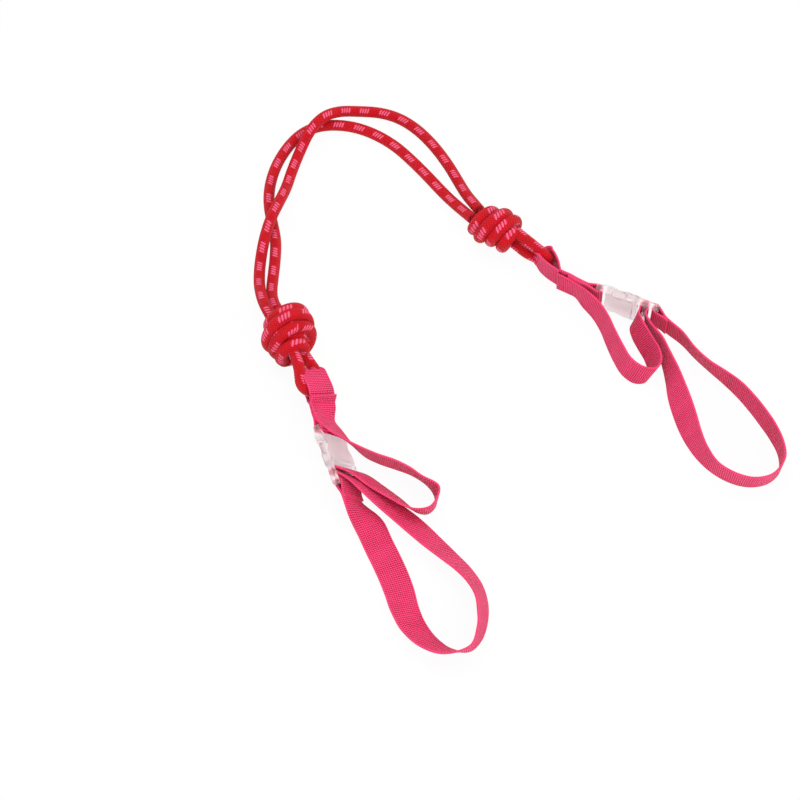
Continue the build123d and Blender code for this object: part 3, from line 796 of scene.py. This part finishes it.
# Rows of each free strap: a point of its lower edge in millimetres, then the compass angle and
# the rise, in degrees, of the line across the webbing from that edge.
strapRows = {
    "leftAdjuster": [
        (-110.5, -14.5, 4, 212, 64), (-101, -23, 0.8, 235, 78), (-91, -28.5, 0.8, 245, 80),
        (-80.5, -32.5, 0.8, 246, 80), (-70, -37, 0.8, 244, 77), (-61, -43.5, 0.8, 232, 76),
        (-55.5, -51.5, 0.8, 310, 80), (-54.8, -59.5, 0.8, 300, 82), (-60, -65.3, 0.8, 280, 76),
        (-67.5, -63.8, 0.8, 245, 68), (-78, -54.5, 1.2, 215, 56), (-88.8, -46.8, 3.5, 208, 50),
        (-98.7, -41, 7, 204, 50),
    ],
    "leftHand": [
        (-88.5, -72, 2, 206, 6), (-83, -84, 0.8, 205, 5), (-78, -95, 0.8, 203, 5),
        (-73, -107, 0.8, 200, 6), (-69, -119, 0.8, 197, 10), (-66, -132, 0.8, 198, 20),
        (-61.5, -143.5, 0.8, 208, 28), (-54.5, -153.5, 0.8, 222, 40), (-45.5, -160.5, 0.8, 240, 56),
        (-34.5, -162, 0.8, 270, 78), (-27, -155, 0.8, 140, 80), (-23, -144, 0.8, 160, 70),
        (-22, -131, 0.8, 180, 64), (-25, -117.5, 0.8, 200, 56), (-32, -105.5, 0.8, 214, 50),
        (-41, -95, 0.8, 218, 44), (-50.5, -84.5, 0.8, 220, 38), (-60, -74.5, 1.5, 220, 34),
        (-69.5, -66, 2.5, 218, 34), (-79.8, -59.1, 4.4, 212, 38), (-90.3, -53.1, 7.4, 204, 44),
        (-99, -47.5, 9.5, 200, 48),
    ],
    "rightAdjuster": [
        (49.5, 95, 1.2, 30, 86), (56, 86, 0.8, 30, 82), (61, 75, 0.8, 20, 80),
        (64.5, 63, 0.8, 18, 78), (68.5, 51, 0.8, 18, 76), (73.5, 40.5, 0.8, 20, 76),
        (81, 34, 0.8, 15, 74), (88.5, 34.5, 0.8, 5, 72), (91.5, 41.5, 0.8, 355, 70),
        (90, 51, 0.8, 350, 66), (86, 60.5, 0.8, 345, 64), (82.5, 69.5, 0.8, 350, 68),
        (81.5, 78, 1.6, 350, 78),
    ],
    "rightHand": [
        (91.5, 77.5, 2.6, 200, 84), (94.5, 69, 1.4, 200, 87), (98.5, 59, 0.8, 20, 86),
        (101.5, 47.5, 0.8, 20, 82), (103, 34.5, 0.8, 18, 72), (103.8, 20.5, 0.8, 18, 60),
        (106.2, 7.5, 0.8, 16, 56), (109.8, -5.5, 0.8, 20, 60), (114.8, -17, 0.8, 30, 70),
        (121.5, -27.5, 0.8, 40, 82), (130.5, -36.5, 0.8, 240, 86), (141.5, -43, 0.8, 260, 82),
        (153, -45.5, 0.8, 275, 80), (164.5, -43, 0.8, 290, 82), (173, -34.5, 0.8, 0, 88),
        (174, -22.5, 0.8, 0, 90), (169.5, -9.5, 0.8, 30, 88), (163.5, 2, 0.8, 30, 87),
        (157.5, 12.5, 0.8, 30, 88), (150.5, 23, 0.8, 40, 90), (142.5, 33, 0.8, 220, 84),
        (133.5, 43, 0.8, 220, 78), (124.5, 53.5, 0.8, 222, 78), (116, 64, 1.8, 215, 82),
    ],
}


def floorRows(rows):
    # rows of (middle of the webbing, line across it, gather), from rows of strapRows
    rows = np.asarray(rows, dtype=float)
    compass, rise = np.radians(rows[:, 3]), np.radians(rows[:, 4])
    level = np.cos(rise)
    across = np.stack([np.cos(compass) * level, np.sin(compass) * level, np.sin(rise)], axis=1)
    middle = (rows[:, :3] + across * webSet["width"] / 2) * mm
    return np.hstack([middle, across, np.ones((len(rows), 1))])


def flatRows(base, places):
    # Rows of webbing whose width lies along a frame's y, from places of (along x, along z) and,
    # where they are given, the gather and the shift along y.
    places = np.asarray(places, dtype=float)
    rest = np.tile([1.0, 0.0], (len(places), 1))
    rest[:, : places.shape[1] - 2] = places[:, 2:]
    local = np.stack([places[:, 0], rest[:, 1], places[:, 1]], axis=1)
    across = np.broadcast_to(-base["y"], (len(places), 3))
    return np.hstack([placed(base, local * mm), across, rest[:, :1]])


def tabRows(end, buckle, fold, lift, shift=0.0):
    # Rows along the sewn tab from the bar to the fold. Its drift, its lift and the turn of its
    # width follow f squared times (3 - 2 f), with f from 0 at the bar to 1 at the fold.
    f = np.linspace(0.0, 1.0, webSet["tabRows"])[:, None]
    soft = eased(f)
    first, last = buckleSizes["meetAt"], end["tabLength"]
    local = np.hstack([-first - (last - first) * f, end["tabDrift"] * soft, end["tabLift"] * soft])
    across = -unit(buckle["y"] * (1 - soft) + fold["y"] * soft)
    normal = unit(buckle["z"] * (1 - soft) + fold["z"] * soft)
    middle = placed(buckle, local * mm) + (normal * lift + across * shift) * mm
    return np.hstack([middle, across, np.ones((len(f), 1))])


def halfTurn(side):
    # webbing round a bar at a frame's origin, from the face on the far side to the one on side
    reach = webSet["barReach"]
    angle = np.radians(np.linspace(-reach, reach, webSet["barRows"]))
    return np.stack([wrapRadius * np.cos(angle), side * wrapRadius * np.sin(angle)], axis=1)


def addTape(name, rows, pieces):
    # A tape along smoothed rows: its section is a rounded strip carried with its width along the
    # rows' line across. A gather below 1 draws the strip to that share of its width, and lifts it
    # in pleats, h (1 - cos(pi pleats (y / half + 1))), which keep its length across.
    half, thick, pleats = webSet["width"] / 2, webSet["thick"] / 2, webSet["pleats"]
    line = smoothLine(rows, webSet["step"] * mm)
    middle, across = line[:, :3], unit(line[:, 3:6])
    normal = unit(np.cross(unit(np.gradient(middle, axis=0)), across))
    flat = half - webSet["corner"][0]
    flat = np.linspace(-flat, flat, webSet["columns"])
    turned, rim = half - webSet["corner"][1], thick * webSet["cornerHeight"]
    y = np.concatenate([flat, [turned, half, turned], flat[::-1], [-turned, -half, -turned]])
    face = np.full(len(flat), thick)
    h = np.concatenate([face, [rim, 0, -rim], -face, [-rim, 0, rim]])
    share = np.clip(line[:, 6:7], webSet["tightest"], 1.0)
    lift = np.sqrt(1 / share**2 - 1) * math.sqrt(2) * half * share / (math.pi * pleats)
    pleat = lift * (1 - np.cos(math.pi * pleats * (y[None] / half + 1)))
    sideways = across[:, None] * (y[None] * share * mm)[..., None]
    upward = normal[:, None] * ((h[None] - pleat) * mm)[..., None]
    run = runAlong(middle) / mm
    grid = middle[:, None] + sideways + upward
    tape = addGrid(name, grid, run, np.append(y, y[0]), webStuff)
    # the texture's places go across the tape and then along it
    places = np.zeros(len(tape.data.loops) * 2)
    layer = tape.data.uv_layers["lay"].data
    layer.foreach_get("uv", places)
    places = places.reshape(-1, 2)[:, ::-1].copy()
    places[-2 * len(y):] = (half, 0.0)      # the cut ends are sealed, with no weave on them
    layer.foreach_set("uv", places.ravel())
    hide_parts(*pieces)
    return tape, {"run": run, "middle": middle, "across": across, "normal": normal}


stitchSet = {
    "length": 2.0,
    "pitch": 2.6,
    "thread": 0.24,          # the thread's radius, mm
    "holeShare": 0.35,       # the share of it that is left at a needle hole
    "inset": 2.0,            # from the tape's sides to the rows along them
    "sunk": 0.12,            # how far a stitch's ends lie below the tape's face
    "rise": 0.22,            # how far its middle rises above its ends
    "slack": 0.1,            # how far a row of stitches may run over
    "sides": 6,
    "rings": 5,
    "tabRuns": (2.0, 5.0),   # rows across the tab, from the cut end, mm
    "loopRuns": (1.6, 3.6),
}


def addStitches(name, path, crossings, facing):
    # Lockstitch on one face of a tape: rows across it at the given runs, joined by a row along each
    # edge. A stitch's middle rises above the tape as sin(pi t) from one needle hole to the next,
    # and its thread is as thick as its least share plus the rest times sqrt(sin(pi t)).
    f = stitchSet
    edge = webSet["width"] / 2 - f["inset"]
    spare = f["slack"] - f["length"]
    across = np.arange(-edge, edge + spare, f["pitch"])
    along = np.arange(min(crossings), max(crossings) + spare, f["pitch"])
    starts = [np.column_stack([np.full(len(across), run), across]) for run in crossings]
    starts += [np.column_stack([along, np.full(len(along), side)]) for side in (-edge, edge)]
    counts = [len(across) * len(crossings), len(along) * 2]
    starts = np.vstack(starts)
    steps = np.repeat([[0.0, f["length"]], [f["length"], 0.0]], counts, axis=0)
    t = np.linspace(0.0, 1.0, f["rings"])
    bow = np.sin(np.pi * t)
    at = starts[:, None] + steps[:, None] * t[None, :, None]
    keys = ("middle", "across", "normal")
    middle, over, out = (readAt(at[..., 0], path["run"], path[key]) for key in keys)
    out = out * np.sign(np.sum(out * facing, axis=-1, keepdims=True))
    rise = webSet["thick"] / 2 - f["sunk"] + f["rise"] * bow
    centre = middle + (over * at[..., 1:] + out * rise[None, :, None]) * mm
    lateral = np.cross(unit(np.gradient(centre, axis=1)), out)
    angle = np.arange(f["sides"]) * 2 * np.pi / f["sides"]
    radius = f["thread"] * (f["holeShare"] + (1 - f["holeShare"]) * bow**0.5) * mm
    ring = np.cos(angle)[:, None] * out[:, :, None] + np.sin(angle)[:, None] * lateral[:, :, None]
    grid = centre[:, :, None] + ring * radius[None, :, None, None]
    count, rings, sides = grid.shape[:3]
    base = np.arange(count)[:, None] * rings * sides
    i, j = np.meshgrid(np.arange(rings - 1), np.arange(sides), indexing="ij")
    near, step = i * sides, (j + 1) % sides
    quad = np.stack([near + j, near + sides + j, near + sides + step, near + step], axis=-1)
    quads = (quad[None] + base[..., None, None]).reshape(-1, 4)
    cap = np.arange(sides)
    caps = [(base + cap).tolist(), (base + (rings - 1) * sides + cap[::-1]).tolist()]
    points, faces = grid.reshape(-1, 3).tolist(), quads.tolist() + caps[0] + caps[1]
    piece = addPiece(name, points, faces, threadStuff)
    return piece


foldSet = {
    "room": 4.8,             # half the height inside the fold round the rope
    "parting": (1.5, 1.2),   # place where the two layers start to part
    "swell": (0.55, 0.72),   # shares of the way to the widest place, and of its height
    "bend": 9,               # rows round the fold
}


def addTabTape(name, end, buckle, fold):
    # One closed loop: from the parting round the rope's eye, back along the far side of the tab,
    # round the socket's bar, and along the near side to the parting again. Round the eye the tape
    # is gathered: drawn is 0 at the middle of the turn and 1 where the turn starts and ends.
    side, layer, share, reach = end["nearFace"], webSet["layer"], end["gather"], end["tipAt"]
    height = foldSet["room"] + webSet["thick"] / 2
    far = end["foldLength"] - height - webSet["thick"] / 2
    angle = np.radians(np.linspace(90, -90, foldSet["bend"]))
    drawn = np.sin(np.abs(angle)) ** 2
    apex = np.column_stack([
        -far - height * np.cos(angle), side * height * np.sin(angle),
        share + (1.0 - share) * drawn,
        end["gatherShift"] * (1.0 - drawn) + end["farShift"] * np.clip(-np.sin(angle), 0, 1) ** 2,
    ])
    (start, low), (swellAt, swell) = foldSet["parting"], foldSet["swell"]
    near = np.array([[-start, low], [-reach * swellAt, height * swell], [-reach, height]])
    near = np.column_stack([near[:, 0], side * near[:, 1], np.ones(3), np.zeros(3)])
    back = near[::-1] * (1, -1, 1, 1)
    back[:, 3] = end["farShift"] * np.minimum(1.0, -back[:, 0] / reach)
    neck, close = webSet["neck"]
    top = tabRows(end, buckle, fold, side * layer)
    rows = np.vstack([
        top[-1:], flatRows(fold, near), flatRows(fold, apex), flatRows(fold, back),
        tabRows(end, buckle, fold, -side * layer)[::-1], flatRows(buckle, [[-neck, -side * close]]),
        flatRows(buckle, halfTurn(side)), flatRows(buckle, [[-neck, side * close]]), top[:-1],
    ])
    tape, _ = addTape(name + "TabTape", rows, [name + "_rope_fold", name + "_sewn_tab"])
    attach(tape, "sling")


adjusterSet = {
    "clear": 0.1,            # between the fold and a cut end that lies over it
    "slope": 0.45,           # where the strap comes down to the tab, as a share of the way
    "overBar": 4.1,          # height over the socket's bar
    "sewnRows": 3,           # rows of the tab that the strap lies on where it ends short of it
}


def addAdjuster(name, end, buckle, fold):
    # from its cut end on the tab, round the small loop, and to the slot beside the adjuster bar
    f = adjusterSet
    side, lie, beyond, shift = end["nearFace"], webSet["lie"], end["endBeyond"], end["endShift"]
    slot = (buckleSizes["adjusterAt"] - wrapRadius, -end["wrapSide"] * buckleSizes["slotLeg"])
    sewn = tabRows(end, buckle, fold, side * lie, shift)[::-1]
    if beyond > 0:
        rise = foldSet["room"] + 1.5 * webSet["thick"] + f["clear"]
        half = rise * f["slope"] + lie * (1 - f["slope"])
        over = [[-beyond, side * rise, 1, -shift], [-beyond * f["slope"], side * half, 1, -shift]]
        leave = [flatRows(fold, over), sewn, flatRows(buckle, [[0.0, side * f["overBar"]]])]
    else:
        leave = [sewn[: f["sewnRows"]]]
    rows = np.vstack([*leave, floorRows(strapRows[name + "Adjuster"]), flatRows(buckle, [slot])])
    tape, path = addTape(name + "AdjusterTape", rows, [name + "_adjuster_strap"])
    start, finish = placed(buckle, (0, 0, 0)), placed(buckle, (slot[0] * mm, 0, 0))
    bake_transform(tape)
    runs = (*stitchSet["tabRuns"], end["seamEnd"])
    seam = addStitches(name + "TabStitches", path, runs, towardsView)
    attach(seam, "sling")


def addHandLoop(name, end, buckle, loop):
    # round the adjuster bar, round the hand loop, and folded round the fixed bar to its cut end
    side, layer, wrapSide = end["nearFace"], webSet["layer"], end["wrapSide"]
    x, leg = buckleSizes["adjusterAt"], -buckleSizes["slotLeg"] * wrapSide
    angle = np.linspace(np.pi, 0.0, webSet["barRows"])
    over = [x + wrapRadius * np.cos(angle), wrapSide * wrapRadius * np.sin(angle)]
    wrap = np.vstack([[x - wrapRadius, leg], np.stack(over, axis=1), [x + wrapRadius, leg]])
    tabEnd, past, meet = (buckleSizes[key] for key in ("loopTab", "pastTab", "meetAt"))
    neck, close = webSet["neck"]
    tab = np.vstack([
        [[tabEnd + past, -side * layer], [meet, -side * layer], [neck, -side * close]],
        halfTurn(side) * (-1, 1),
        [[neck, side * close], [meet, side * layer], [tabEnd, side * layer]],
    ])
    hand = floorRows(strapRows[name + "Hand"])
    if name == "left":
        hand = hand[::-1]
    rows = np.vstack([flatRows(buckle, wrap), hand, flatRows(loop, tab)])
    tape, path = addTape(name + "HandTape", rows, [name + "_hand_loop", name + "_loop_tab"])
    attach(tape, name + "_plug")
    runs = [path["run"][-1] - run for run in stitchSet["loopRuns"]]
    seam = addStitches(name + "LoopStitches", path, runs, -path["normal"][-1])
    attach(seam, name + "_plug")


addCamera()
addLamps()
addSky()
addFloor()
print("camera, floor and lamps placed")

ropeStuff, webStuff = ropeMaterial(), webMaterial()
threadStuff, buckleStuff = threadMaterial(), buckleMaterial()
print("materials made")

addStrands()
print("rope strands laid")

for name, end in ends.items():
    buckle, fold, eye, knot, loop = endFrames(end)
    addKnot(name, end, knot)
    addEye(name, end, eye)
    addTabTape(name, end, buckle, fold)
    addAdjuster(name, end, buckle, fold)
    addHandLoop(name, end, buckle, loop)
    for node in ("buckle_socket", "buckle_plug", "latch_low", "latch_high"):
        bpy.data.objects[name + "_" + node].material_slots[0].material = buckleStuff
    print(name, "end made")
